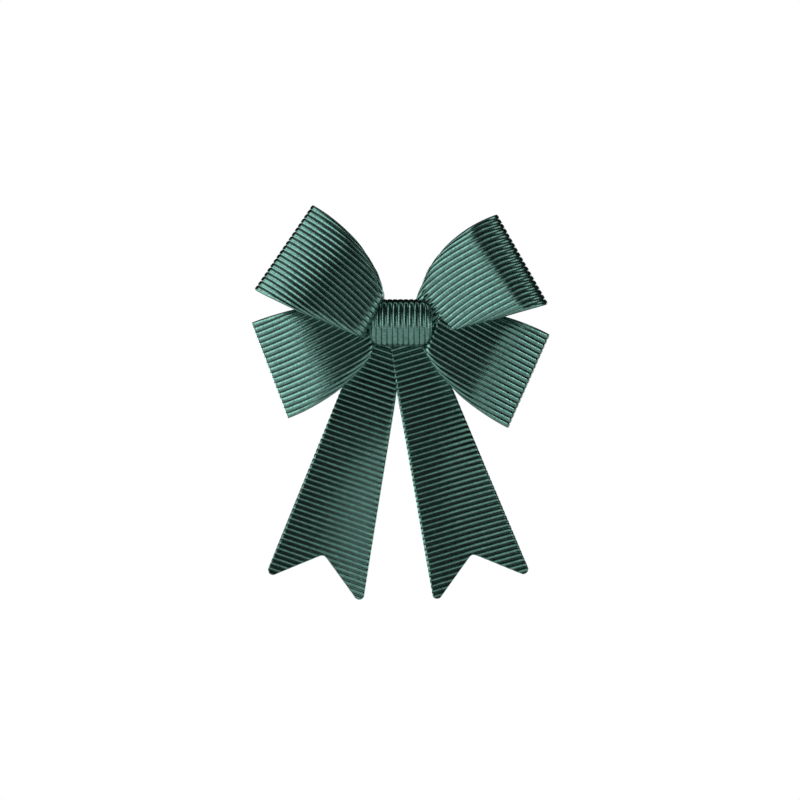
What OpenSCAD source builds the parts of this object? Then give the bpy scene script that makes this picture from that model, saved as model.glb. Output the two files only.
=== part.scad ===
// Ready-made gift bow. Four ribbon loops are gathered into one waist, bound with thread and
// covered by a knot wrap. Two fishtail tails are glued to the back of the knot, under a patch
// that also holds a wire-cored twist tie.
// The bow stands upright, as it is worn on a parcel: +X to the viewer's right, +Z up and -Y
// towards the viewer. The origin is at the centre of the patch's flat back face.

/* [Ribbon] */
// Width of the ribbon that the loops and tails are cut from
ribbon_w = 40; // [34:0.5:48]
// Thickness of the ribbed ribbon
ribbon_t = 1.0; // [0.8:0.05:1.2]
// Thickness of a layer of ribbon where it is gathered at the waist
gathered_t = 1.6; // [1.4:0.05:2]

/* [Loops] */
// Distance from the centre of the knot to the fold of an upper loop
upper_reach = 55; // [48:0.5:68]
// Distance from the centre of the knot to the fold of a lower loop
lower_reach = 56.3; // [48:0.5:68]
// Tilt of the upper left loop above the horizontal
upper_left_tilt = 34; // [30:0.5:40]
// Tilt of the upper right loop above the horizontal
upper_right_tilt = 28.5; // [26:0.5:36]
// Tilt of the lower left loop below the horizontal
lower_left_tilt = 20.5; // [18:0.5:28]
// Tilt of the lower right loop below the horizontal
lower_right_tilt = 24.5; // [20:0.5:30]
// Depth of the hollow inside an upper loop
upper_hollow = 9.5; // [8:0.5:12]
// Depth of the hollow inside a lower loop
lower_hollow = 9; // [8:0.5:11]
// How far an upper loop's back layer leans forward of its waist
upper_lean = 4; // [3:0.25:5]
// How far the long edges of a loop's front layer roll back behind its middle
edge_roll = 3.5; // [1:0.25:4]

/* [Tails] */
// Length of a tail from the height of the knot's centre to its tips
tail_length = 109.6; // [90:1:135]
// Depth of the fishtail cut in a tail's end
notch_depth = 13; // [8:0.5:18]
// Radius of a tail's tips and of the bottom of its fishtail cut
tip_r = 2; // [1:0.25:3]
// Splay of the left tail from the vertical
left_tail_splay = 15.6; // [12:0.2:22]
// Splay of the right tail from the vertical
right_tail_splay = 16.4; // [12:0.2:22]
// Start of the left tail's middle line, left of the knot's centre
left_tail_start = 5.4; // [4:0.2:7]
// Start of the right tail's middle line, right of the knot's centre
right_tail_start = 0.9; // [0:0.1:3]
// Distance from the height of the knot's centre to the line where a tail bends
tail_bend = 30; // [28:0.5:36]
// Width of a tail where it bends
tail_bend_w = 22.4; // [18:0.2:28]
// Width of a tail behind the knot
tail_root_w = 12.5; // [10:0.5:14]
// Forward lean of a tail below its bend
tail_lean = 5; // [0:0.5:8]
// Gap between a tail's held part and its free part, at the bend
bend_gap = 0.3; // [0.2:0.05:0.5]

/* [Knot] */
// Height of the knot wrap
knot_h = 18.8; // [18.2:0.1:24]
// Width of the knot wrap across its middle
knot_w = 25; // [23:0.2:32]
// Width of the knot wrap along its top and bottom edges
knot_edge_w = 16.2; // [14:0.2:19]
// How far the knot's front bulges forward of its top and bottom edges
knot_bulge = 2.6; // [1.5:0.1:4]
// Rounding of the wrap's back edges, top and bottom
wrap_corner = 2; // [1.4:0.1:2.4]
// Reach of each end of the wrap past the centre, where the ends overlap at the back
wrap_lap = 4.5; // [3:0.5:6]
// Thickness of the glue between ribbon layers
glue_t = 0.15; // [0.1:0.05:0.3]

/* [Waist] */
// Height of the gathered waist
waist_h = 14.6; // [13:0.2:15]
// Length along the waist that the binding thread covers
binding_w = 5; // [3:0.5:8]
// Thickness of the binding thread
binding_t = 0.5; // [0.3:0.05:0.7]
// Clearance between pieces packed in and behind the knot
fit = 0.1; // [0.08:0.01:0.15]

/* [Back patch] */
// Width of the patch that covers the tails' glued ends
patch_w = 24; // [20:0.5:28]
// Height of the patch
patch_h = 15; // [12:0.5:17]
// Corner radius of the patch
patch_r = 2; // [0.5:0.5:4]
// Margin from the patch's edge to its glue
glue_margin = 1.5; // [1:0.25:2.5]

/* [Twist tie] */
// Width of the twist tie's flat strip
tie_w = 4; // [3:0.5:5]
// Thickness of the twist tie's flat strip
tie_t = 0.4; // [0.3:0.05:0.5]
// Diameter of the sheath along the strip's middle
tie_sheath_d = 1; // [0.9:0.05:1.2]
// Diameter of the wire inside the sheath
tie_wire_d = 0.5; // [0.4:0.05:0.6]
// Length of each free leg of the twist tie
tie_leg = 40; // [30:1:44]
// Droop of a leg below the horizontal
tie_droop = 9; // [6:1:12]
// Distance from the patch's side to each bend of the tie
tie_bend_out = 1.4; // [1:0.1:2]
// Gap between the tie's middle and a leg, at the bend
tie_gap = 0.3; // [0.2:0.05:0.5]
// Clearance between the tie and the tails in front of it
tie_clearance = 0.3; // [0.2:0.05:0.5]

/* [Hidden] */

$fn = 64;
ribbon_green = [0.13, 0.34, 0.28];
tie_green = [0.08, 0.22, 0.18];
thread_green = [0.07, 0.20, 0.16];
glue_clear = [0.85, 0.82, 0.70];
steel = [0.66, 0.67, 0.68];

left = -1;
right = 1;

// The layers of the bow along Y, from the patch's back face at 0 to the front of the knot.
tie_y = -(ribbon_t + fit + tie_sheath_d / 2);
left_tail_back_y = tie_y - tie_sheath_d / 2 - tie_clearance;
right_tail_back_y = left_tail_back_y - ribbon_t - fit;
wrap_back_y = right_tail_back_y - ribbon_t - glue_t;
wrap_inside_y = wrap_back_y - 2 * ribbon_t - glue_t;
binding_back_y = wrap_inside_y - fit;
lower_roots_y = binding_back_y - binding_t - fit;
loop_root_t = 2 * gathered_t + fit;
upper_roots_y = lower_roots_y - loop_root_t - fit;
binding_front_y = upper_roots_y - loop_root_t - fit - binding_t;
knot_edge_y = binding_front_y - fit - ribbon_t;
lower_waist_y = lower_roots_y - loop_root_t / 2;
upper_waist_y = upper_roots_y - loop_root_t / 2;

// The lower loops' back layers pass this far in front of the tails.
tail_clearance = 0.35;
lower_back_y = right_tail_back_y - ribbon_t - tail_clearance - ribbon_t / 2;
lower_drop = lower_waist_y - lower_back_y;

// Half the gap between the ends of opposite loops, at the middle of the waist.
root_gap = 0.2;
// Distances from the knot's centre between which a loop turns from level to its tilt.
turn_start = 3;
turn_end = 30;
// Distance from the knot's centre at which a loop starts to widen.
gather_end = 11;
// Distance from the knot's centre at which a loop's layers leave the side of the wrap.
clamp_end = knot_w / 2;
// Place of a loop's thickest point, as a share of its reach.
loop_crest = 0.6;
// Height of a loop's fold, as a share of its depth from back to front.
fold_height = 0.3;
// Stations along each quarter of a loop's profile and inside the wrap, and steps across
// its width.
quarter_steps = 8;
root_steps = 5;
width_steps = 6;

// The bends of the twist tie, and half the length of the stretch between them.
bend_x = patch_w / 2 + tie_bend_out;
middle_half = bend_x - tie_sheath_d / 2 - tie_gap;

// Edges of a tail: its held part reaches up to here, and its tips pull in by this much.
tail_root_top = 5.5;
tip_inset = 0.35;

function mix(a, b, t) = a + (b - a) * t;
function clamp01(t) = min(max(t, 0), 1);
function smooth(t) = let (c = clamp01(t)) c * c * (3 - 2 * c);
function bezier(a, b, c, d, t) =
  a * pow(1 - t, 3) + 3 * b * t * pow(1 - t, 2) + 3 * c * t * t * (1 - t) + d * pow(t, 3);
function unit(v) = v / norm(v);

// Points on one quarter of a loop's profile.
function quarter(a, b, c, d) = [for (i = [0 : quarter_steps - 1]) bezier(a, b, c, d, i / quarter_steps)];

// Points along a layer's level root, from one distance to another.
function level(from, to, height) = [for (i = [0 : root_steps - 1]) [mix(from, to, i / root_steps), height]];

// Middle line of a loop, as [distance from the knot, height in front of the waist]: out
// along the front layer, round the fold and back along the back layer. Both layers lie
// level under the wrap; the back layer leaves it more sharply than the front one.
function loop_profile(reach, rise, drop) =
  let (
    root = gathered_t / 2 + fit / 2,
    crest = reach * loop_crest,
    shoulder = mix(crest, reach, 0.62),
    fold = mix(drop, rise, fold_height)
  )
  concat(
    level(root_gap, clamp_end, root),
    quarter([clamp_end, root], [mix(clamp_end, crest, 0.3), root],
            [mix(clamp_end, crest, 0.6), rise], [crest, rise]),
    quarter([crest, rise], [shoulder, rise], [reach, mix(fold, rise, 0.75)], [reach, fold]),
    quarter([reach, fold], [reach, mix(fold, drop, 0.75)], [shoulder, drop], [crest, drop]),
    quarter([crest, drop], [mix(clamp_end, crest, 0.3), drop],
            [mix(clamp_end, crest, 0.1), -root], [clamp_end, -root]),
    level(clamp_end, root_gap, -root),
    [[root_gap, -root]]
  );

// Half the width of a loop seen from the front, at a distance from the knot's centre.
function loop_half_width(along, reach) =
  mix(waist_h / 2, ribbon_w / 2, sin(90 * clamp01((along - gather_end) / (reach - gather_end))));

function layer_thickness(along) = mix(gathered_t, ribbon_t, smooth((along - gather_end / 2) / gather_end));

// A point given along, across and in front of a loop, which leaves the waist level and
// then turns to its tilt.
function place(along, across, front, side, tilt, waist_y) =
  let (
    turned = tilt * smooth((along - turn_start) / (turn_end - turn_start)),
    a = side == right ? turned : 180 - turned
  )
  [along * cos(a) - across * sin(a), waist_y - front, along * sin(a) + across * cos(a)];

// Points round the ribbon's section at one station of a profile: across its outer face,
// then back across its inner face.
function loop_section(profile, i, reach, side, tilt, waist_y) =
  let (
    last = len(profile) - 1,
    here = profile[i],
    ahead = unit(profile[min(i + 1, last)] - profile[max(i - 1, 0)]),
    outward = [-ahead[1], ahead[0]],
    half = loop_half_width(here[0], reach),
    in_front = i <= root_steps + 2 * quarter_steps ? 1 : 0,
    roll = in_front * edge_roll * sin(180 * clamp01((here[0] - clamp_end) / (reach - clamp_end))),
    half_t = layer_thickness(here[0]) / 2
  )
  [for (face = [1, -1], j = [0 : width_steps])
    let (
      q = face * (2 * j / width_steps - 1),
      point = here + outward * face * half_t - [0, roll * q * q]
    )
    place(point[0], half * q, point[1], side, tilt, waist_y)
  ];

// One solid through a row of equal sections, closed at both ends.
module swept(sections) {
  ring = len(sections[0]);
  end = (len(sections) - 1) * ring;
  walls = [for (i = [0 : len(sections) - 2], j = [0 : ring - 1])
    let (k = (j + 1) % ring, a = i * ring, b = a + ring)
    each [[a + j, b + k, b + j], [a + j, a + k, b + k]]];
  cap = [for (j = [0 : ring / 2 - 2])
    each [[j, ring - 2 - j, j + 1], [j, ring - 1 - j, ring - 2 - j]]];
  end_cap = [for (f = cap) [end + f[2], end + f[1], end + f[0]]];
  polyhedron(points = [for (s = sections) each s], faces = concat(walls, cap, end_cap));
}

module ribbon_loop(side, tilt, reach, rise, drop, waist_y) {
  profile = loop_profile(reach, rise, drop);
  color(ribbon_green)
    swept([for (i = [0 : len(profile) - 1]) loop_section(profile, i, reach, side, tilt, waist_y)]);
}

module upper_loop(side, tilt) {
  ribbon_loop(side, tilt, upper_reach, upper_lean + upper_hollow + ribbon_t, upper_lean, upper_waist_y);
}

module lower_loop(side, tilt) {
  ribbon_loop(side, tilt, lower_reach, lower_drop + lower_hollow + ribbon_t, lower_drop, lower_waist_y);
}

module upper_left_loop() {
  upper_loop(left, upper_left_tilt);
}

module upper_right_loop() {
  upper_loop(right, upper_right_tilt);
}

module lower_left_loop() {
  lower_loop(left, -lower_left_tilt);
}

module lower_right_loop() {
  lower_loop(right, -lower_right_tilt);
}

// Stands a flat outline up, facing the viewer, with its back at the given Y.
module upright(back_y, thickness) {
  translate([0, back_y, 0])
    rotate([90, 0, 0])
      linear_extrude(height = thickness) children();
}

// Turns a tail about its start on the knot's middle line.
module splayed(side) {
  start = side == right ? right_tail_start : -left_tail_start;
  splay = side == right ? -right_tail_splay : left_tail_splay;
  translate([start, 0, 0])
    rotate([0, splay, 0]) children();
}

function tail_back_y(side) = side == right ? right_tail_back_y : left_tail_back_y;

module tail_root_part(side) {
  end = -tail_bend + ribbon_t / 2 + bend_gap;
  color(ribbon_green)
    splayed(side)
      upright(tail_back_y(side), ribbon_t)
        polygon([
          [-tail_root_w / 2, tail_root_top],
          [tail_root_w / 2, tail_root_top],
          [tail_bend_w / 2, end],
          [-tail_bend_w / 2, end]
        ]);
}

function arc(centre, r, from, to, steps) =
  [for (i = [0 : steps]) let (a = mix(from, to, i / steps)) centre + r * [cos(a), sin(a)]];

function direction(v) = atan2(v[1], v[0]);

// Outline of a tail below its bend: straight edges, round tips and a fishtail cut whose
// sides run tangent from the tips to its round bottom.
module tail_outline() {
  bend = [tail_bend_w / 2, -tail_bend];
  tip = [ribbon_w / 2 - tip_inset - tip_r, -tail_length + tip_r];
  notch = [0, -tail_length + notch_depth - tip_r];
  edge_a = direction(tip - bend) + asin(tip_r / norm(tip - bend));
  cut_a = direction(tip - notch) - asin(2 * tip_r / norm(tip - notch));
  half = concat(
    [bend],
    arc(tip, tip_r, edge_a + 90, cut_a - 90, 8),
    arc(notch, tip_r, cut_a + 90, 90, 4)
  );
  polygon(concat(half, [for (i = [len(half) - 2 : -1 : 0]) [-half[i][0], half[i][1]]]));
}

module free_tail(side) {
  color(ribbon_green)
    splayed(side)
      translate([0, tail_back_y(side) - ribbon_t / 2, -tail_bend])
        rotate([-tail_lean, 0, 0]) {
          translate([0, 0, tail_bend]) upright(ribbon_t / 2, ribbon_t) tail_outline();
          rotate([0, 90, 0]) cylinder(d = ribbon_t, h = tail_bend_w, center = true);
        }
}

module left_tail_root() {
  tail_root_part(left);
}

module left_tail() {
  free_tail(left);
}

module right_tail_root() {
  tail_root_part(right);
}

module right_tail() {
  free_tail(right);
}

// A rectangle along Y and Z with round corners.
module rounded_section(front_y, back_y, height, r) {
  translate([front_y, -height / 2 + r]) square([back_y - front_y, height - 2 * r]);
  translate([front_y + r, -height / 2]) square([back_y - front_y - 2 * r, height]);
  for (y = [front_y + r, back_y - r], z = [-height / 2 + r, height / 2 - r])
    translate([y, z]) circle(r = r);
}

// Extrudes a section drawn along Y and Z by a length along X, about the middle.
module along_waist(length) {
  rotate([90, 0, 90])
    translate([0, 0, -length / 2])
      linear_extrude(height = length) children();
}

// Thread wound side by side round the gathered loops.
module waist_binding() {
  inner_h = waist_h + 2 * fit;
  inner_r = 2 * fit;
  color(thread_green)
    along_waist(binding_w)
      difference() {
        rounded_section(binding_front_y, binding_back_y, inner_h + 2 * binding_t, inner_r + binding_t);
        rounded_section(binding_front_y + binding_t, binding_back_y - binding_t, inner_h, inner_r);
      }
}

// Side outline of the knot: an arc at the front, flat at the back, with round back corners.
module knot_outline(inset, back_y) {
  front_y = knot_edge_y - knot_bulge;
  front_r = (pow(knot_h / 2, 2) + pow(knot_bulge, 2)) / (2 * knot_bulge);
  r = wrap_corner - inset;
  intersection() {
    translate([front_y + front_r, 0]) circle(r = front_r - inset, $fn = 128);
    rounded_section(front_y - 2 * wrap_corner, back_y, knot_h - 2 * inset, r);
  }
}

// Keeps what lies between two heights.
module between(low_z, high_z) {
  deep = 60;
  intersection() {
    children();
    translate([-deep, low_z]) square([2 * deep, high_z - low_z]);
  }
}

// Section of the wrap: its upper end lies inside and its lower end outside at the back,
// with glue between them.
module wrap_section() {
  outer_layer_y = wrap_back_y - ribbon_t;
  inner_layer_y = outer_layer_y - glue_t;
  difference() {
    union() {
      between(wrap_lap, knot_h) knot_outline(0, inner_layer_y);
      between(-knot_h, wrap_lap) knot_outline(0, wrap_back_y);
    }
    between(-wrap_lap, knot_h) knot_outline(ribbon_t, wrap_inside_y);
    between(-knot_h, -wrap_lap) knot_outline(ribbon_t, outer_layer_y);
    translate([inner_layer_y, -wrap_lap]) square([glue_t, 2 * wrap_lap]);
  }
}

// Front outline of the knot: level top and bottom edges and sides that bulge.
module knot_barrel() {
  bulge = (knot_w - knot_edge_w) / 2;
  side_r = (pow(knot_h / 2, 2) + pow(bulge, 2)) / (2 * bulge);
  for (side = [left, right])
    intersection() {
      translate([side * (knot_w / 2 - side_r), 0]) circle(r = side_r, $fn = 128);
      translate([side == right ? 0 : -knot_w, -knot_h / 2]) square([knot_w, knot_h]);
    }
}

module knot_wrap() {
  color(ribbon_green)
    intersection() {
      along_waist(knot_w) wrap_section();
      upright(0, -2 * knot_edge_y) knot_barrel();
    }
}

module plate(back_y, thickness, width, low_z, high_z) {
  translate([-width / 2, back_y - thickness, low_z]) cube([width, thickness, high_z - low_z]);
}

module wrap_glue() {
  color(glue_clear)
    plate(wrap_back_y - ribbon_t, glue_t, knot_edge_w - 2 * glue_margin, -wrap_lap, wrap_lap);
}

// Glue between the front of the right tail's root and the back of the wrap.
module tail_glue() {
  size = tail_root_w - 2 * glue_margin;
  color(glue_clear)
    translate([right_tail_start, 0, 0])
      plate(right_tail_back_y - ribbon_t, glue_t, size, -wrap_lap, wrap_lap);
}

module back_patch() {
  color(ribbon_green)
    upright(0, ribbon_t)
      translate([-patch_w / 2, -patch_h / 2]) {
        translate([patch_r, 0]) square([patch_w - 2 * patch_r, patch_h]);
        translate([0, patch_r]) square([patch_w, patch_h - 2 * patch_r]);
        for (x = [patch_r, patch_w - patch_r], z = [patch_r, patch_h - patch_r])
          translate([x, z]) circle(r = patch_r);
      }
}

// Two beads of glue that hold the patch to the tails, above and below the twist tie.
module patch_glue() {
  bead_t = -ribbon_t - left_tail_back_y;
  near = tie_w / 2 + 2 * fit;
  far = min(patch_h / 2 - glue_margin, tail_root_top);
  width = 2 * (tail_root_w / 2 + left_tail_start - patch_r);
  color(glue_clear)
    for (side = [left, right])
      plate(-ribbon_t, bead_t, width, side == right ? near : -far, side == right ? far : -near);
}

// A length of flat strip with a round sheath along its middle, from the origin along +X,
// hollow from the given start for the wire.
module tie_strip(length, wire_start) {
  difference() {
    union() {
      translate([0, -tie_t / 2, -tie_w / 2]) cube([length, tie_t, tie_w]);
      rotate([0, 90, 0]) cylinder(d = tie_sheath_d, h = length);
    }
    translate([wire_start, 0, 0]) tie_wire(length - wire_start);
  }
}

module tie_wire(length) {
  rotate([0, 90, 0]) cylinder(d = tie_wire_d, h = length);
}

module tie_middle() {
  color(tie_green)
    translate([-middle_half, tie_y, 0]) tie_strip(2 * middle_half, 0);
}

module tie_middle_wire() {
  color(steel)
    translate([-middle_half, tie_y, 0]) tie_wire(2 * middle_half);
}

// Puts a leg, drawn along +X, at its bend on one side.
module tie_side(side) {
  translate([side * bend_x, tie_y, 0])
    mirror([side == right ? 0 : 1, 0, 0])
      rotate([0, tie_droop, 0]) children();
}

module tie_leg_part(side) {
  color(tie_green) {
    tie_side(side) tie_strip(tie_leg, tie_sheath_d);
    translate([side * bend_x, tie_y, 0]) cylinder(d = tie_sheath_d, h = tie_w, center = true);
  }
}

module tie_leg_wire(side) {
  color(steel)
    tie_side(side)
      translate([tie_sheath_d, 0, 0]) tie_wire(tie_leg - tie_sheath_d);
}

module tie_left_leg() {
  tie_leg_part(left);
}

module tie_right_leg() {
  tie_leg_part(right);
}

module tie_left_wire() {
  tie_leg_wire(left);
}

module tie_right_wire() {
  tie_leg_wire(right);
}

upper_left_loop();
upper_right_loop();
lower_left_loop();
lower_right_loop();
left_tail_root();
left_tail();
right_tail_root();
right_tail();
waist_binding();
knot_wrap();
wrap_glue();
tail_glue();
back_patch();
patch_glue();
tie_middle();
tie_left_leg();
tie_right_leg();
tie_middle_wire();
tie_left_wire();
tie_right_wire();
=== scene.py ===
"""Ready-made gift bow of ribbed satin ribbon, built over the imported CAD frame."""
import math
from dataclasses import dataclass

import bpy
import numpy as np
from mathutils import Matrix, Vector


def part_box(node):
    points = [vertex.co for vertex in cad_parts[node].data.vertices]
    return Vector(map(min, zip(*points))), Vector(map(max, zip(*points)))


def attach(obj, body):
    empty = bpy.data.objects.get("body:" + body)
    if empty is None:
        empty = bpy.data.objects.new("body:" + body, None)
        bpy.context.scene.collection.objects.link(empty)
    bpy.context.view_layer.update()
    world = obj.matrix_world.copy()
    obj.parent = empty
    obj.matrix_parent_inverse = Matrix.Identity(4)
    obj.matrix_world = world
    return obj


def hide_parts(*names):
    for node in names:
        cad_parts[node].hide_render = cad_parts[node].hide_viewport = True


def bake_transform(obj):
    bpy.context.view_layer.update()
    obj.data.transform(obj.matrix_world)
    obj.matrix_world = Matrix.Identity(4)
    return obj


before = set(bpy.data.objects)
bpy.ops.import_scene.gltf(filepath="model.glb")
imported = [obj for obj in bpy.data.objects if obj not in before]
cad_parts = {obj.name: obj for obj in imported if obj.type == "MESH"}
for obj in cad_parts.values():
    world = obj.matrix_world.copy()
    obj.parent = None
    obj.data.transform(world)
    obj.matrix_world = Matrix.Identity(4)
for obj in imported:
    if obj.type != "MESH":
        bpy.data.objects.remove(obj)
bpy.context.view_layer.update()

# Shapes are worked out in millimetres, with x to the viewer's right, y away from the
# viewer and z up, and turned into metres when a mesh is made.
MM = 0.001

# The ribbon: a thin core with half-round ribs on both faces.
RIBBON_W = 41.0
RIB_COUNT = 19
RIB_PITCH = RIBBON_W / RIB_COUNT
CORE_HALF_T = 0.15
RIB_HEIGHT = 0.42
RIB_SAMPLES = 8
CUT_EDGE_R = 0.4        # a cut edge is rounded off over this distance


# ---------------------------------------------------------------- small helpers

def mix(a, b, t):
    """The value a share t of the way from a to b."""
    return a + (b - a) * t


def smooth(t):
    """A smooth step from 0 at t = 0 to 1 at t = 1."""
    t = np.clip(t, 0, 1)
    return t * t * (3 - 2 * t)


def unit(vectors):
    """The same directions with length 1."""
    return vectors / np.linalg.norm(vectors, axis=-1, keepdims=True)


def b_spline(control, count):
    """Points on a clamped uniform cubic B-spline."""
    control = np.asarray(control, float)
    control = np.vstack([control[:1], control[:1], control, control[-1:], control[-1:]])
    spans = len(control) - 3
    t = np.linspace(0, spans - 1e-9, count)
    i = t.astype(int)
    f = (t - i)[:, None]
    return (
        (1 - f) ** 3 * control[i]
        + (3 * f**3 - 6 * f**2 + 4) * control[i + 1]
        + (-3 * f**3 + 3 * f**2 + 3 * f + 1) * control[i + 2]
        + f**3 * control[i + 3]
    ) / 6


def resample(points, spacing):
    """The same polyline with even steps along it, and each point's distance along it."""
    steps = np.linalg.norm(np.diff(points, axis=0), axis=1)
    along = np.concatenate([[0], np.cumsum(steps)])
    even = np.linspace(0, along[-1], max(2, int(round(along[-1] / spacing)) + 1))
    columns = [np.interp(even, along, points[:, k]) for k in range(points.shape[1])]
    return np.stack(columns, axis=1), even


def rib(distance):
    """Height of a rib's half-round back, from 0 in a groove to 1 on its crest."""
    x = 2 * (distance / RIB_PITCH % 1.0) - 1
    return np.sqrt(np.maximum(0, 1 - x * x))


def rounded_edge(from_edge, least):
    """Share of the full thickness left at a distance from a cut edge."""
    return np.sqrt(np.clip(1 - (1 - np.clip(from_edge / CUT_EDGE_R, 0, 1)) ** 2, least, 1))


def cad_middle_and_half(node):
    """Middle and half size of a CAD node's box, in millimetres."""
    low, high = (np.array(corner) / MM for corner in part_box(node))
    return (low + high) / 2, (high - low) / 2


def rib_stops(length):
    """Distances across ribs, closest together at the grooves."""
    step = (1 - np.cos(np.pi * np.arange(RIB_SAMPLES) / RIB_SAMPLES)) / 2
    count = int(math.ceil(length / RIB_PITCH))
    stops = (np.arange(count)[:, None] + step).ravel() * RIB_PITCH
    return np.append(stops[stops < length - 1e-6], length)


# ---------------------------------------------------------------- meshes

def new_piece(name, vertices, faces, material, body, ribbon=None):
    """A smooth mesh of quads, with a material slot and, where one is given, a body.

    The ribbon values are, for each point, the distance along, the distance across and the
    height of the rib there. The ribbon's material reads them.
    """
    mesh = bpy.data.meshes.new(name)
    faces = np.asarray(faces, np.int32)
    mesh.vertices.add(len(vertices))
    mesh.vertices.foreach_set("co", (np.asarray(vertices) * MM).astype(np.float32).ravel())
    mesh.loops.add(faces.size)
    mesh.loops.foreach_set("vertex_index", faces.ravel())
    mesh.polygons.add(len(faces))
    mesh.polygons.foreach_set("loop_start", np.arange(0, faces.size, 4, dtype=np.int32))
    mesh.polygons.foreach_set("use_smooth", np.ones(len(faces), bool))
    mesh.update(calc_edges=True)
    if ribbon is not None:
        attribute = mesh.attributes.new("ribbon", "FLOAT_VECTOR", "POINT")
        attribute.data.foreach_set("vector", np.asarray(ribbon, np.float32).ravel())
        uv = mesh.uv_layers.new(name="along_rib")
        corners = np.asarray(ribbon)[faces.ravel(), :2] / 200 + 0.5
        uv.data.foreach_set("uv", corners.astype(np.float32).ravel())
    mesh.validate()
    piece = bpy.data.objects.new(name, mesh)
    bpy.context.scene.collection.objects.link(piece)
    mesh.materials.append(material)
    if body:
        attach(piece, body)
    return piece


def grid_faces(index):
    """Quads between neighbouring points of a grid of point numbers."""
    return np.stack([index[:-1, :-1], index[:-1, 1:], index[1:, 1:], index[1:, :-1]], -1).reshape(-1, 4)


def shell_faces(rows, columns):
    """Quads of a closed sheet: grids for its outer and inner face, joined round the rim.

    Outer vertices come first, row by row, then the inner ones.
    """
    index = np.arange(rows * columns).reshape(rows, columns)
    outer = grid_faces(index)
    inner = grid_faces((index + rows * columns).T)
    loop = np.concatenate([index[0, :-1], index[:-1, -1], index[-1, :0:-1], index[:0:-1, 0]])
    ahead = np.roll(loop, -1)
    rims = np.stack([loop, loop + rows * columns, ahead + rows * columns, ahead], -1)
    return np.concatenate([outer, inner, rims])


def surface_normals(points, outward):
    """Normals of a grid of points, on the side that outward points to."""
    across = np.gradient(points, axis=1)
    along = np.gradient(points, axis=0)
    normals = unit(np.cross(along, across) + 1e-12)
    flip = np.sign(np.sum(normals * outward, axis=-1).sum()) or 1.0
    return normals * flip


def rolled_section(w, half_width, radius, depth_scale):
    """Place across and depth of points w across a ribbon whose edges roll back.

    The middle stays flat. Both edges turn on the given radius, by half a turn at most,
    until the ribbon is only half_width wide each way. What is then left over runs back
    under the flat middle, shortened where it would pass the centre.
    """
    half = RIBBON_W / 2
    flat = max(half_width - radius, 0.0)
    if half - flat < radius * math.pi / 2:
        low, high = flat, half
        for _ in range(40):
            flat = (low + high) / 2
            if flat + radius * math.sin((half - flat) / radius) > half_width:
                high = flat
            else:
                low = flat
    reach = np.abs(w) - flat
    turn = np.clip(reach / radius, 0, math.pi)
    rest = np.maximum(reach - radius * math.pi, 0)
    longest = half - flat - radius * math.pi
    room = flat - 0.5
    if longest > room:
        rest = rest * room / longest
    v = np.minimum(np.abs(w), flat) + radius * np.sin(turn) - rest
    depth = radius * (1 - np.cos(turn))
    return np.sign(w) * v, depth * depth_scale


def ribbon_sheet(name, centre, across, half_width, radius, depth_scale, thickness):
    """A gathered strip of the bow's ribbon with ribs along it, and the strip's length.

    The strip follows the centre points. Across gives its direction at each of them, the
    next three values its rolled section there, and thickness a share of the full one.
    """
    travel = unit(np.gradient(centre, axis=0))
    outward = unit(np.cross(travel, across))
    w = rib_stops(RIBBON_W) - RIBBON_W / 2
    height = rib(w + RIBBON_W / 2)
    rows = len(centre)
    points = np.zeros((rows, len(w), 3))
    for i in range(rows):
        v, depth = rolled_section(w, half_width[i], radius[i], depth_scale[i])
        points[i] = centre[i] + v[:, None] * across[i] - depth[:, None] * outward[i]
    normals = surface_normals(points, outward[:, None, :])
    half_t = (CORE_HALF_T + RIB_HEIGHT * height)[None, :, None] * thickness[:, None, None]
    outer = points + normals * half_t
    inner = points - normals * half_t
    steps = np.linalg.norm(np.diff(centre, axis=0), axis=1)
    along = np.concatenate([[0], np.cumsum(steps)])
    grid = np.stack(np.broadcast_arrays(along[:, None], w[None, :], height[None, :]), -1)
    vertices = np.concatenate([outer.reshape(-1, 3), inner.reshape(-1, 3)])
    ribbon = np.concatenate([grid.reshape(-1, 3)] * 2)
    faces = shell_faces(rows, len(w))
    piece = new_piece(name, vertices, faces, ribbon_material, "bow", ribbon)
    return piece, along[-1]


# ---------------------------------------------------------------- materials

def node_material(name, **settings):
    """A material, its node tree and its shader, with the shader's inputs set by name."""
    material = bpy.data.materials.new(name)
    material.use_nodes = True
    tree = material.node_tree
    shader = tree.nodes["Principled BSDF"]
    for setting, value in settings.items():
        shader.inputs[setting.replace("_", " ").title()].default_value = value
    return material, tree, shader


def noise_node(tree, vector, scale, detail, stretch=None):
    """Noise over a vector, which may be stretched first."""
    if stretch is not None:
        mapping = tree.nodes.new("ShaderNodeMapping")
        mapping.inputs["Scale"].default_value = stretch
        tree.links.new(vector, mapping.inputs["Vector"])
        vector = mapping.outputs["Vector"]
    node = tree.nodes.new("ShaderNodeTexNoise")
    node.inputs["Scale"].default_value = scale
    node.inputs["Detail"].default_value = detail
    tree.links.new(vector, node.inputs["Vector"])
    return node.outputs["Fac"]


def ramp_node(tree, factor, start, end):
    """Colour that runs between two (position, colour) stops."""
    ramp = tree.nodes.new("ShaderNodeValToRGB")
    for element, (position, colour) in zip(ramp.color_ramp.elements, (start, end)):
        element.position = position
        element.color = (*colour, 1)
    tree.links.new(factor, ramp.inputs["Fac"])
    return ramp.outputs["Color"]


def math_node(tree, operation, first, second, third=None):
    """A sum or product of a value from a node with numbers or other values."""
    node = tree.nodes.new("ShaderNodeMath")
    node.operation = operation
    tree.links.new(first, node.inputs[0])
    node.inputs[1].default_value = second
    if third is not None:
        tree.links.new(third, node.inputs[2])
    return node.outputs[0]


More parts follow.
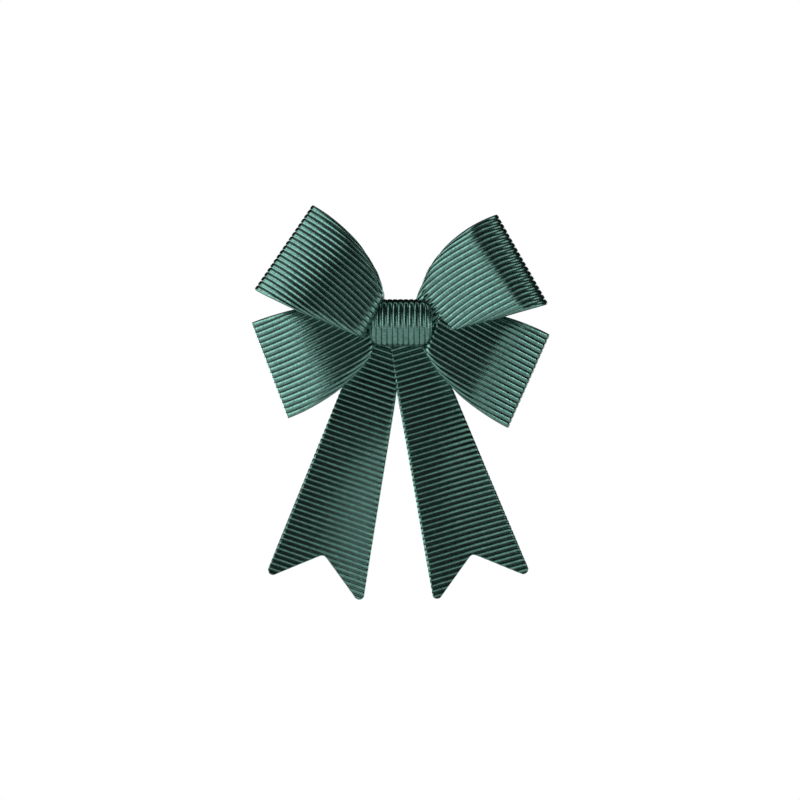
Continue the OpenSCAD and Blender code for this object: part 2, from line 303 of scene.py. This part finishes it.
def add_bump(tree, shader, height, strength, distance):
    """Fine relief on the shader's normal."""
    bump = tree.nodes.new("ShaderNodeBump")
    bump.inputs["Strength"].default_value = strength
    bump.inputs["Distance"].default_value = distance
    tree.links.new(height, bump.inputs["Height"])
    tree.links.new(bump.outputs["Normal"], shader.inputs["Normal"])


def satin_ribbon(name, dark, light):
    """Dyed satin threads laid over thick ribs, crosswise to them, with painted shade darkening the grooves.
    """
    material, tree, shader = node_material(
        name, metallic=0.97, roughness=0.24, coat_weight=1.0, coat_roughness=0.18,
        sheen_weight=0.05, sheen_roughness=0.4,
    )
    where = tree.nodes.new("ShaderNodeAttribute")
    where.attribute_name = "ribbon"
    place = where.outputs["Vector"]
    threads = noise_node(tree, place, scale=1.0, detail=3.0, stretch=(2.0, 0.7, 0.0))
    blotches = noise_node(tree, place, scale=0.35, detail=3.0, stretch=(1.0, 1.0, 0.0))
    mottle = math_node(tree, "MULTIPLY_ADD", threads, 0.7, math_node(tree, "MULTIPLY", blotches, 0.3))
    dye = ramp_node(tree, mottle, (0.36, dark), (0.66, light))
    parts = tree.nodes.new("ShaderNodeSeparateXYZ")
    tree.links.new(place, parts.inputs["Vector"])
    # Painted shade: the colour is multiplied darker towards the grooves, going by the rib height stored in
    # the ribbon values.
    painted_groove_shade = ramp_node(tree, parts.outputs["Z"], (0.25, (0.12, 0.12, 0.12)), (0.85, (1, 1, 1)))
    shade = tree.nodes.new("ShaderNodeMix")
    shade.data_type = "RGBA"
    shade.blend_type = "MULTIPLY"
    shade.inputs["Factor"].default_value = 1.0
    tree.links.new(dye, shade.inputs["A"])
    tree.links.new(painted_groove_shade, shade.inputs["B"])
    tree.links.new(shade.outputs["Result"], shader.inputs["Base Color"])
    add_bump(tree, shader, threads, strength=0.24, distance=0.00012)
    return material


def plain_material(name, colour, roughness, scale, variation, metallic=0.0):
    """One colour, mottled by a share of itself, with a finely uneven surface."""
    material, tree, shader = node_material(name, metallic=metallic, roughness=roughness)
    where = tree.nodes.new("ShaderNodeTexCoord")
    grain = noise_node(tree, where.outputs["Object"], scale=scale, detail=4)
    darker = [c * (1 - variation) for c in colour]
    lighter = [min(1, c * (1 + variation)) for c in colour]
    mottled = ramp_node(tree, grain, (0.0, darker), (1.0, lighter))
    tree.links.new(mottled, shader.inputs["Base Color"])
    add_bump(tree, shader, grain, strength=0.3, distance=0.0002)
    return material


ribbon_material = satin_ribbon("ribbed_satin", (0.055, 0.180, 0.142), (0.180, 0.425, 0.350))
patch_material = satin_ribbon("patch_satin", (0.035, 0.130, 0.100), (0.080, 0.250, 0.195))
thread_material = plain_material("binding_thread", (0.02, 0.10, 0.075), 0.5, 4000, 0.3)
glue_material = plain_material("clear_glue", (0.75, 0.72, 0.60), 0.25, 600, 0.1)
tie_material = plain_material("tie_strip", (0.015, 0.075, 0.055), 0.35, 2500, 0.25)
wire_material = plain_material("tie_wire", (0.55, 0.56, 0.58), 0.3, 3000, 0.1, metallic=1.0)


# ---------------------------------------------------------------- loops

WAIST_HALF_H = 7.3      # half the height of the gathered waist
WRAP_SIDE = 12.5        # from the middle to the side of the knot
ROOT_RISE = 0.85        # half the distance between a loop's two layers in the knot
UPPER_WAIST_Y = -12.55
LOWER_WAIST_Y = -9.15
COURSE_STEP = 0.1
NECK_TURN = 10          # the course turns to its neck's tilt over this distance
ROOM_IN_HOLLOW = 0.42   # share of a loop's hollow that a rolled edge may fill


@dataclass
class LoopShape:
    """One ribbon loop: its course seen from the front and its profile seen from its edge.

    Lengths are millimetres and angles are degrees. A rise is a height in front of the waist,
    and a distance is measured outward along the loop from the middle of the bow.
    """

    name: str
    side: int           # -1 for the left, 1 for the right
    waist_y: float      # depth of the gathered end
    turn_from: float    # distance where the course starts to turn
    reach: float        # distance of the fold at the outer end
    neck_tilt: float    # slope of the course just outside the knot
    fold_tilt: float    # slope of the course at the fold
    skew: float         # extra turn of the fold's line
    neck_rise: float
    crest_rise: float
    crest_at: float     # distance of the crest
    fall_power: float   # the higher, the later the front layer falls to the fold
    fold_rise: float
    back_rise: float    # rise of the back layer

    def course(self):
        """Distance along, places and headings of the loop's middle line, from the front."""
        s = np.arange(0, self.reach + 3, COURSE_STEP)
        turn_to = self.turn_from + NECK_TURN
        tilt = self.neck_tilt * smooth((s - self.turn_from) / NECK_TURN)
        outer_share = np.clip((s - turn_to) / (self.reach - turn_to), 0, 1)
        tilt = tilt + (self.fold_tilt - self.neck_tilt) * outer_share
        heading = np.radians(tilt)
        x = np.concatenate([[0], np.cumsum(np.cos(heading[:-1]) * COURSE_STEP)])
        z = np.concatenate([[0], np.cumsum(np.sin(heading[:-1]) * COURSE_STEP)])
        return s, self.side * x, z, heading

    def profile(self):
        """Distance from the middle and rise, round the whole loop from its front layer."""
        clamp, reach, crest_at = WRAP_SIDE, self.reach, self.crest_at
        neck, crest, fold, back = self.neck_rise, self.crest_rise, self.fold_rise, self.back_rise
        out_of_knot = [
            (0.2, ROOT_RISE), (clamp - 5, ROOT_RISE), (clamp - 1.2, ROOT_RISE + 0.1),
            (clamp - 0.4, mix(ROOT_RISE, neck, 0.4)), (clamp + 0.1, mix(ROOT_RISE, neck, 0.85)),
            (clamp + 1.2, neck), (clamp + 5, neck),
            (mix(clamp + 5, crest_at, 0.5), mix(neck, crest, 0.6)), (crest_at, crest),
        ]
        to_fold = [
            (mix(crest_at, reach, t), mix(crest, fold, t**self.fall_power))
            for t in (0.2, 0.4, 0.6, 0.8, 0.97)
        ]
        round_fold = [
            (reach + 0.6, mix(fold, back, 0.15)), (reach + 0.2, mix(fold, back, 0.55)),
            (reach - 1.8, mix(fold, back, 0.9)),
        ]
        to_knot = [
            (mix(crest_at, reach, 0.5), back), (crest_at, back),
            (mix(clamp, crest_at, 0.4), mix(-ROOT_RISE, back, 0.75)),
            (clamp + 1, -ROOT_RISE), (clamp - 4, -ROOT_RISE), (0.2, -ROOT_RISE),
        ]
        control = out_of_knot + to_fold + round_fold + to_knot
        return resample(b_spline(control, 900), 0.9)[0]

    def build(self):
        """The loop as a sheet of ribbon, its edges rolled into its own hollow."""
        s, x, z, heading = self.course()
        along, rise = self.profile().T
        tilt = np.interp(along, s, heading)
        centre = np.stack([np.interp(along, s, x), self.waist_y - rise, np.interp(along, s, z)], -1)
        lean = tilt * mix(0.65, 1.0, smooth((along - 11) / 14))
        outside_knot = (along - WRAP_SIDE) / (self.reach - WRAP_SIDE)
        lean = lean + np.radians(self.skew) * smooth(outside_knot)
        across = np.stack([-np.sin(lean), 0 * lean, self.side * np.cos(lean)], -1)
        share = np.clip((along - 8) / (self.reach - 8), 0, 1)
        half_width = mix(WAIST_HALF_H, RIBBON_W / 2, np.sin(share * np.pi / 2))
        at_fold = int(np.argmax(along))
        front = np.interp(along, along[:at_fold], rise[:at_fold])
        back = np.interp(along, along[:at_fold:-1], rise[:at_fold:-1])
        hollow = np.maximum(front - back, 0.5)
        radius = mix(2.0, 4.2, smooth((along - 10) / 30))
        depth_scale = np.minimum(0.55, ROOM_IN_HOLLOW * hollow / (2 * radius))
        thickness = mix(0.62, 1.0, smooth((along - 8) / 10))
        piece, length = ribbon_sheet(
            self.name + "_ribbon", centre, across, half_width, radius, depth_scale, thickness
        )
        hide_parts(self.name)


LoopShape(
    "upper_left_loop", side=-1, waist_y=UPPER_WAIST_Y, turn_from=4.2, reach=56.8,
    neck_tilt=46, fold_tilt=29.5, skew=5, neck_rise=9.0, crest_rise=9.6, crest_at=34,
    fall_power=1.6, fold_rise=3.8, back_rise=2.2,
).build()
LoopShape(
    "upper_right_loop", side=1, waist_y=UPPER_WAIST_Y, turn_from=1.8, reach=54.3,
    neck_tilt=42.5, fold_tilt=18.5, skew=11.2, neck_rise=1.6, crest_rise=14.0, crest_at=43,
    fall_power=3.0, fold_rise=10.6, back_rise=4.0,
).build()
LoopShape(
    "lower_left_loop", side=-1, waist_y=LOWER_WAIST_Y, turn_from=8.0, reach=56.5,
    neck_tilt=-29.2, fold_tilt=-21.0, skew=0, neck_rise=5.2, crest_rise=5.7, crest_at=33,
    fall_power=1.7, fold_rise=-1.4, back_rise=-4.3,
).build()
LoopShape(
    "lower_right_loop", side=1, waist_y=LOWER_WAIST_Y, turn_from=3.0, reach=55.9,
    neck_tilt=-30.0, fold_tilt=-27.0, skew=3, neck_rise=5.2, crest_rise=5.7, crest_at=36,
    fall_power=1.7, fold_rise=-1.4, back_rise=-4.3,
).build()


# ---------------------------------------------------------------- knot

KNOT_HALF_H = 8.9       # to the middle of the strip's thickness
KNOT_BACK_IN = -6.3     # depth of the inner lapped end
KNOT_BACK_OUT = -5.15   # depth of the outer lapped end
KNOT_EDGE_Y = -15.4     # depth of the top edge
KNOT_FRONT_Y = -18.0
KNOT_LAP = 4.5          # each end passes the middle by this much
KNOT_OFFSET = -0.6      # the strip sits a little to the left
KNOT_SIDE_HALF = 8.6    # half its width over the top, the bottom and the back
KNOT_FRONT_HALF = 12.3  # half its width where it bulges in front


def knot_wrap():
    """The strip round the waist: from its inner end at the back over the top, down the
    front, under the bottom and up the back to its outer end."""
    half_h, lap = KNOT_HALF_H, KNOT_LAP
    back_in, back_out = KNOT_BACK_IN, KNOT_BACK_OUT
    edge_y, front_y = KNOT_EDGE_Y, KNOT_FRONT_Y
    control = [
        (back_in, -lap), (back_in, -lap + 3), (back_in, half_h - 4), (back_in, half_h - 0.8),
        (back_in - 0.9, half_h), (back_in - 4, half_h), (edge_y + 2.5, half_h + 0.05),
        (edge_y - 0.2, half_h), (edge_y - 1.6, half_h - 0.9), (front_y + 0.1, half_h * 0.62),
        (front_y - 0.15, 2.5), (front_y - 0.05, -0.5), (front_y + 0.6, -3.6),
        (edge_y - 0.6, -half_h + 1.9), (edge_y + 0.5, -half_h + 0.3), (edge_y + 2.5, -half_h),
        (back_out - 4, -half_h), (back_out - 0.9, -half_h), (back_out, -half_h + 0.8),
        (back_out, -half_h + 4), (back_out, lap - 3), (back_out, lap),
    ]
    y, z = resample(b_spline(control, 900), 0.45)[0].T
    centre = np.stack([KNOT_OFFSET + 0 * y, y, z], -1)
    across = np.tile([1.0, 0.0, 0.0], (len(y), 1))
    front = smooth((-y - 12.5) / 2.5)
    bulge = np.sqrt(np.clip(1 - np.abs(z / (half_h + 0.6)) ** 3, 0, 1))
    half_width = mix(KNOT_SIDE_HALF, mix(KNOT_SIDE_HALF, KNOT_FRONT_HALF, bulge), front)
    radius = mix(1.6, 2.4, front)
    depth_scale = mix(0.25, 0.9, front * bulge)
    thickness = mix(0.95, 1.0, front)
    piece, length = ribbon_sheet(
        "knot_ribbon", centre, across, half_width, radius, depth_scale, thickness
    )
    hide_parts("knot_wrap")


knot_wrap()


# ---------------------------------------------------------------- tails

# Distances down a tail are measured from the height of the knot's centre.
TAIL_TOP = 5.5          # the root starts this far above it
TAIL_BEND = 30.0        # the crease below the knot
TAIL_END = 109.6
TAIL_ROOT_HALF = 6.25
TAIL_BEND_HALF = 11.2
TAIL_TIP_HALF = 20.0
TIP_R = 2.0
NOTCH_DEPTH = 13.0
TAIL_LEAN = math.radians(5)
CREASE_R = 3.0          # the lean comes in over this distance
TAIL_TURN = 5.5         # the right edge lies back by this much further down
HALF_COLUMNS = 30
OUTLINE_STEP = 0.01
NORMAL_STEP = 0.02


def tail_edge(distance):
    """Half a tail's width seen from the front, at a distance below the knot's centre."""
    upper = mix(TAIL_ROOT_HALF, TAIL_BEND_HALF, (distance + TAIL_TOP) / (TAIL_BEND + TAIL_TOP))
    lower = mix(TAIL_BEND_HALF, TAIL_TIP_HALF, (distance - TAIL_BEND) / (TAIL_END - TIP_R - TAIL_BEND))
    return np.where(distance < TAIL_BEND, upper, np.minimum(lower, TAIL_TIP_HALF))


def in_tail_outline(v, distance):
    """True inside a tail's flat outline, with round tips and a round-bottomed cut."""
    a = np.abs(v)
    tip = np.array([TAIL_TIP_HALF - TIP_R, TAIL_END - TIP_R])
    notch = np.array([0.0, TAIL_END - NOTCH_DEPTH + TIP_R])
    gap = tip - notch
    side = math.atan2(gap[1], gap[0]) + math.asin(2 * TIP_R / np.hypot(*gap))
    along = a * math.cos(side) + (distance - notch[1]) * math.sin(side)
    off = -a * math.sin(side) + (distance - notch[1]) * math.cos(side)
    tip_along = gap[0] * math.cos(side) + gap[1] * math.sin(side)
    cut = (off > -TIP_R) & (along > 0) | (np.hypot(a, distance - notch[1]) < TIP_R)
    past_tip = (along > tip_along) & (distance > tip[1]) & (np.hypot(a - tip[0], distance - tip[1]) > TIP_R)
    return (a <= tail_edge(distance)) & ~cut & ~past_tip


def tail_rows(skew):
    """Rows along the ribs, for the left half and the right half of a tail.

    Each half has four lists: the rows' distances, where they start, where they end, and
    whether the row is above the cut, so that it meets its other half.
    """
    v = np.arange(-TAIL_TIP_HALF - 1, TAIL_TIP_HALF + 1.001, OUTLINE_STEP)
    slope = math.tan(math.radians(skew))

    def runs(distance):
        """The stretches of a row that lie inside the outline."""
        ok = in_tail_outline(v, distance + v * slope)
        edges = np.flatnonzero(np.diff(np.concatenate([[0], ok.astype(int), [0]])))
        return [(v[a], v[b - 1]) for a, b in zip(edges[::2], edges[1::2]) if b - a > 3]

    fine = np.arange(TAIL_END - NOTCH_DEPTH - 8, TAIL_END + 8, 0.02)
    found = [(d, runs(d)) for d in fine]
    split_v = next((r[0][1] + r[1][0]) / 2 for d, r in found if len(r) == 2)
    last = {
        side: max(d for d, r in found for low, high in r if (low + high) / 2 * side > split_v * side)
        for side in (-1, 1)
    }
    stops = rib_stops(TAIL_END + TAIL_TOP + 8) - TAIL_TOP
    extra = [end - step for end in last.values() for step in (0.02, 0.08, 0.2, 0.4)]
    stops = np.unique(np.concatenate([stops, extra]))
    rows = {-1: [], 1: []}
    for d in stops[stops < max(last.values())]:
        for side in (-1, 1):
            for low, high in runs(d):
                if low < split_v - 0.5 and high > split_v + 0.5:
                    start, end = (low, split_v) if side < 0 else (split_v, high)
                    rows[side].append((d, start, end, True))
                elif (low + high) / 2 * side > split_v * side:
                    rows[side].append((d, low, high, False))
    return {side: np.array(found_rows).T for side, found_rows in rows.items()}


def tail(name, side, start_x, splay, middle_y, skew):
    """A strip with ribs across it, its edges rolled back towards the knot, and a fishtail
    cut in its end. The two halves share one column of points down to the cut."""
    rows = tail_rows(skew)
    direction = math.radians(splay)
    down = np.array([side * math.sin(direction), 0, -math.cos(direction)])
    across = np.array([math.cos(direction), 0, side * math.sin(direction)])
    slope = math.tan(math.radians(skew))

    def lie(v, d):
        """A point of the flat strip, put in place with its edge roll and its lean."""
        below = d + v * slope
        h = tail_edge(below)
        roll = mix(0.75, 0.18, smooth((below - 20) / 85))
        radius = mix(0.96, 3.0, smooth((below - 5) / 60))
        flat = h - radius * np.sin(roll)
        over = np.clip((np.abs(v) - flat) / (h - flat), 0, 1)
        depth = radius * (1 - np.sqrt(1 - (over * np.sin(roll)) ** 2))
        turned = TAIL_TURN * smooth((below - 20) / 60) * (v / h + 1) ** 2 / 4
        back = (depth + turned) * smooth((below + 8) / 18)
        past = np.maximum(below - TAIL_BEND, 0)
        lean = past - CREASE_R * (1 - np.exp(-past / CREASE_R))
        point = np.array([start_x, 0, 0]) + down * (below + back * math.sin(TAIL_LEAN))[..., None]
        point = point + across * v[..., None]
        point[..., 1] = middle_y - lean * math.tan(TAIL_LEAN) + back
        return point

    vertices, coordinates, faces = [], [], []
    seam = None
    count = 0
    for half in (-1, 1):
        d, low, high, whole = rows[half]
        whole = whole.astype(bool)
        v = low[:, None] + (high - low)[:, None] * np.linspace(0, 1, HALF_COLUMNS + 1)
        d = np.repeat(d[:, None], v.shape[1], 1)
        outside, inside = (0, -1) if half < 0 else (-1, 0)
        points = lie(v, d)
        normals = unit(np.cross(lie(v, d + NORMAL_STEP) - points, lie(v + NORMAL_STEP, d) - points))
        from_edge = np.abs(v - v[:, outside, None])
        height = rib(d + TAIL_TOP)
        half_t = ((CORE_HALF_T + RIB_HEIGHT * height) * rounded_edge(from_edge, 0.04))[..., None]
        index = np.arange(2 * d.size).reshape(2, *d.shape) + count
        count += index.size
        if seam is None:
            seam = index[:, whole, inside]
        else:
            index[:, whole, inside] = seam
        vertices += [points + normals * half_t, points - normals * half_t]
        coordinates += [np.stack([v, d, height], -1)] * 2
        outer, inner = index
        faces += [grid_faces(outer.T), grid_faces(inner)]
        cut_from = np.count_nonzero(whole) - 1
        rims = [
            index[:, 0], index[:, -1, ::-1],
            index[:, ::half, outside], index[:, cut_from:, inside][:, ::-half],
        ]
        for a, b in rims:
            faces.append(np.stack([a[:-1], a[1:], b[1:], b[:-1]], -1))
    used, faces = np.unique(np.concatenate(faces), return_inverse=True)
    vertices = np.concatenate([part.reshape(-1, 3) for part in vertices])[used]
    coordinates = np.concatenate([part.reshape(-1, 3) for part in coordinates])[used]
    faces = faces.reshape(-1, 4)
    piece = new_piece(name + "_ribbon", vertices, faces, ribbon_material, None, coordinates)
    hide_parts(name, name + "_root")
    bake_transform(piece)
    d = np.linspace(-TAIL_TOP, TAIL_END, 400)


tail("left_tail", side=-1, start_x=-5.4, splay=15.6, middle_y=-2.9, skew=3.5)
tail("right_tail", side=1, start_x=0.9, splay=16.4, middle_y=-4.0, skew=0.0)


# ---------------------------------------------------------------- back patch

def back_patch():
    """A short piece of the same ribbon with rounded corners, flat on the bow's back."""
    middle, half = cad_middle_and_half("back_patch")
    corner_r = 2.0
    w = rib_stops(2 * half[2]) - half[2]
    w = np.unique(np.concatenate([w, [0.08 - half[2], 0.3 - half[2], half[2] - 0.3, half[2] - 0.08]]))
    into_corner = np.clip(np.abs(w) - (half[2] - corner_r), 0, corner_r)
    reach = half[0] - corner_r + np.sqrt(corner_r**2 - into_corner**2)
    t = np.linspace(-1, 1, 61)
    x = t[:, None] * reach[None, :]
    z = np.broadcast_to(w, x.shape)
    from_edge = np.minimum(reach[None, :] - np.abs(x), half[2] - np.abs(z))
    half_t = half[1] * mix(0.55, 1.0, rib(z + half[2])) * rounded_edge(from_edge, 0.05)
    front = np.stack([x, middle[1] - half_t, z], -1).reshape(-1, 3)
    back = np.stack([x, middle[1] + half_t, z], -1).reshape(-1, 3)
    grid = np.stack([x, z, rib(z + half[2])], -1).reshape(-1, 3)
    piece = new_piece(
        "patch_ribbon", np.concatenate([front, back]), shell_faces(*x.shape), patch_material,
        "bow", np.concatenate([grid, grid]),
    )
    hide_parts("back_patch")


back_patch()


# ---------------------------------------------------------------- thread round the waist

def thread_coil():
    """Turns of thick thread side by side round the gathered ends of the loops."""
    middle, half = cad_middle_and_half("waist_binding")
    turns = 9
    thread_r = half[0] / turns
    stations, sides = 60 * turns + 1, 10
    angle = np.linspace(0, 2 * np.pi * turns, stations)
    x = np.linspace(-half[0] + thread_r, half[0] - thread_r, stations)
    c, q = np.cos(angle), np.sin(angle)
    y = (half[1] - thread_r) * np.sign(c) * np.sqrt(np.abs(c))
    z = (half[2] - thread_r) * np.sign(q) * np.sqrt(np.abs(q))
    centre = np.stack([x, y, z], -1) + middle
    travel = unit(np.gradient(centre, axis=0))
    sideways = np.array([1.0, 0.0, 0.0])
    outward = unit(np.cross(travel, sideways))
    around = np.linspace(0, 2 * np.pi, sides, endpoint=False)
    ply = 1 + 0.08 * np.cos(2 * around[None, :] + 5 * angle[:, None])
    offset = thread_r * ply[..., None] * (
        np.cos(around)[None, :, None] * outward[:, None, :] + np.sin(around)[None, :, None] * sideways
    )
    vertices = (centre[:, None, :] + offset).reshape(-1, 3)
    index = np.arange(stations * sides).reshape(stations, sides)
    ahead = np.roll(index, -1, axis=1)
    faces = np.stack([index[:-1], ahead[:-1], ahead[1:], index[1:]], -1).reshape(-1, 4)
    caps = []
    for ring, order in ((index[0], 1), (index[-1], -1)):
        for k in range(sides // 2 - 1):
            caps.append([ring[k], ring[k + 1], ring[sides - 2 - k], ring[sides - 1 - k]][::order])
    faces = np.concatenate([faces, caps])
    piece = new_piece("binding_thread", vertices, faces, thread_material, "bow")
    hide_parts("waist_binding")


thread_coil()


# ---------------------------------------------------------------- twist tie

TIE_HALF_W = 2.0
TIE_HALF_T = 0.2
SHEATH_R = 0.5          # of the strip where it covers the wire
TIE_BEND_X = 13.4
TIE_Y = -1.6
LEG_LENGTH = 40.0
LEG_DROOP = math.radians(9)
CRIMP_PITCH = 0.9
CRIMP_DEPTH = 0.05


def tie_half(side, body, stands_for):
    """Half of the twist tie: a crimped strip with a wire along its middle, from the
    bow's centre to the end of one leg."""
    along = np.arange(0, TIE_BEND_X + LEG_LENGTH + 0.01, 0.15)
    past = np.maximum(along - TIE_BEND_X, 0)
    droop = LEG_DROOP * smooth((along - TIE_BEND_X + 0.5) / 1.0)
    x = side * (np.minimum(along, TIE_BEND_X) + past * np.cos(droop))
    centre = np.stack([x, TIE_Y + 0 * along, -past * np.sin(droop)], -1)
    across = np.stack([side * np.sin(droop), 0 * droop, np.cos(droop)], -1)
    w = TIE_HALF_W * np.sin(np.linspace(-np.pi / 2, np.pi / 2, 15))
    w = np.unique(np.concatenate([w, np.linspace(-0.55, 0.55, 9)]))
    wire = np.sqrt(np.maximum(SHEATH_R**2 - w**2, 0))
    edge = np.sqrt(np.clip(1 - (np.abs(w) / TIE_HALF_W) ** 12, 0.1, 1))
    crimped = (np.abs(w) > SHEATH_R + 0.1) & (np.abs(w) < TIE_HALF_W - 0.1)
    crimp = CRIMP_DEPTH * np.cos(2 * np.pi * along / CRIMP_PITCH)[:, None] * crimped
    half_t = np.maximum(TIE_HALF_T * edge, wire)[None, :]
    spine = centre[:, None, :] + w[None, :, None] * across[:, None, :]
    front, back = spine.copy(), spine.copy()
    front[..., 1] += crimp - half_t
    back[..., 1] += crimp + half_t
    grid = np.stack(np.broadcast_arrays(along[:, None], w[None, :], 0.0), -1).reshape(-1, 3)
    piece = new_piece(
        body + "_leg_strip", np.concatenate([front.reshape(-1, 3), back.reshape(-1, 3)]),
        shell_faces(len(along), len(w)), tie_material, None,
        np.concatenate([grid, grid]),
    )
    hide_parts(*stands_for)
    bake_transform(piece)


tie_half(-1, "tie_left", ["tie_left_leg", "tie_middle"])
tie_half(1, "tie_right", ["tie_right_leg"])


# ---------------------------------------------------------------- glue and wire

def glue_beads():
    """Two squeezed-out beads of glue between the patch and the tails, one each side of the tie."""
    middle, half = cad_middle_and_half("patch_glue")
    inner_z = TIE_HALF_W + 0.2
    t, w = np.meshgrid(np.linspace(-1, 1, 61), np.linspace(-1, 1, 25), indexing="ij")
    vertices, faces = [], []
    for side in (-1, 1):
        half_z = (half[2] - inner_z) / 2
        x = half[0] * t * (1 - 0.10 * w**4 - 0.04 * np.sin(5 * w + side))
        z = side * (inner_z + half_z) + half_z * w * (1 - 0.12 * t**6 - 0.06 * (1 + np.cos(7 * t + side)))
        swell = half[1] * np.sqrt((1 - t**6) * (1 - w**4) + 0.002)
        for front in (-1, 1):
            vertices.append(np.stack([x, middle[1] + front * swell, z], -1).reshape(-1, 3))
        faces.append(shell_faces(*t.shape) + len(faces) * 2 * t.size)
    piece = new_piece(
        "glue_beads", np.concatenate(vertices), np.concatenate(faces), glue_material, "bow"
    )
    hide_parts("patch_glue")


glue_beads()

# The hidden glue films and wires keep their CAD shapes.
for material, kept_nodes in (
    (glue_material, ("wrap_glue", "tail_glue")),
    (wire_material, ("tie_middle_wire", "tie_left_wire", "tie_right_wire")),
):
    for node in kept_nodes:
        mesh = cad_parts[node].data
        mesh.materials.clear()
        mesh.materials.append(material)


# ---------------------------------------------------------------- stage, lights, camera

BACKDROP_LIGHT = 1.0    # brightness of the background
FILL_LIGHT = 0.006      # what it adds to the light on the bow

world = bpy.data.worlds.new("studio")
bpy.context.scene.world = world
world.use_nodes = True
nodes, links = world.node_tree.nodes, world.node_tree.links
background = nodes["Background"]
background.inputs["Color"].default_value = (1, 1, 1, 1)
rays = nodes.new("ShaderNodeLightPath")
strength = nodes.new("ShaderNodeMix")
strength.data_type = "FLOAT"
strength.inputs["A"].default_value = FILL_LIGHT
strength.inputs["B"].default_value = BACKDROP_LIGHT
links.new(rays.outputs["Is Camera Ray"], strength.inputs["Factor"])
links.new(strength.outputs["Result"], background.inputs["Strength"])

AIM = Vector((0, -0.012, -0.020))


def softbox(name, azimuth, off_axis, width, height, power, distance=1.0):
    """A soft light round the viewer's axis: azimuth 0 is to the right and 90 is above."""
    a, o = math.radians(azimuth), math.radians(off_axis)
    way = Vector((math.cos(a) * math.sin(o), -math.cos(o), math.sin(a) * math.sin(o)))
    data = bpy.data.lights.new(name, "AREA")
    data.shape = "RECTANGLE"
    data.size, data.size_y = width, height
    data.energy = power
    light = bpy.data.objects.new(name, data)
    bpy.context.scene.collection.objects.link(light)
    light.location = AIM + way * distance
    light.rotation_euler = (-way).to_track_quat("-Z", "Y").to_euler()


softbox("left_softbox", azimuth=180, off_axis=60, width=1.2, height=0.5, power=3.8)
softbox("upper_left_softbox", azimuth=140, off_axis=52, width=0.4, height=0.4, power=1.0)
softbox("lower_left_softbox", azimuth=215, off_axis=56, width=0.4, height=0.4, power=0.2)
softbox("right_softbox", azimuth=-20, off_axis=62, width=0.5, height=0.4, power=2.3)
softbox("right_strip", azimuth=-8, off_axis=34, width=0.6, height=0.3, power=0.5)
softbox("low_softbox", azimuth=270, off_axis=56, width=0.7, height=0.3, power=0.95)
softbox("top_strip", azimuth=90, off_axis=66, width=1.0, height=0.2, power=0.35)
softbox("upper_right_softbox", azimuth=45, off_axis=68, width=0.4, height=0.4, power=0.6)
softbox("rear_left_softbox", azimuth=190, off_axis=138, width=1.0, height=0.9, power=10, distance=1.4)
softbox("rear_right_softbox", azimuth=-10, off_axis=138, width=1.0, height=0.9, power=6, distance=1.4)

camera_data = bpy.data.cameras.new("camera")
camera = bpy.data.objects.new("camera", camera_data)
bpy.context.scene.collection.objects.link(camera)
bpy.context.scene.camera = camera
VIEW_WIDTH = 0.320      # metres across the picture, at the bow's depth
VIEW_CENTRE = Vector((-0.0008, -0.010, -0.0308))
VIEW_DISTANCE = 2.0
SENSOR_WIDTH = 36
camera.location = VIEW_CENTRE - Vector((0, VIEW_DISTANCE, 0))
camera.rotation_euler = (math.radians(90), 0, 0)
camera_data.sensor_width = SENSOR_WIDTH
camera_data.lens = SENSOR_WIDTH * VIEW_DISTANCE / VIEW_WIDTH
camera_data.clip_end = 20

FLOOR_Z = -0.205
FLOOR_X = (-0.7, 0.7)
FLOOR_Y = (-0.6, 0.08)
floor_mesh = bpy.data.meshes.new("floor")
floor_corners = [(FLOOR_X[i], FLOOR_Y[j], FLOOR_Z) for i, j in ((0, 0), (1, 0), (1, 1), (0, 1))]
floor_mesh.from_pydata(floor_corners, [], [(0, 1, 2, 3)])
floor = bpy.data.objects.new("floor", floor_mesh)
bpy.context.scene.collection.objects.link(floor)
floor_material, _, _ = node_material(
    "floor_white", base_color=(0.8, 0.8, 0.8, 1), roughness=0.9,
    emission_color=(1, 1, 1, 1), emission_strength=0.4,
)
floor_mesh.materials.append(floor_material)

bpy.context.scene.view_settings.view_transform = "Standard"
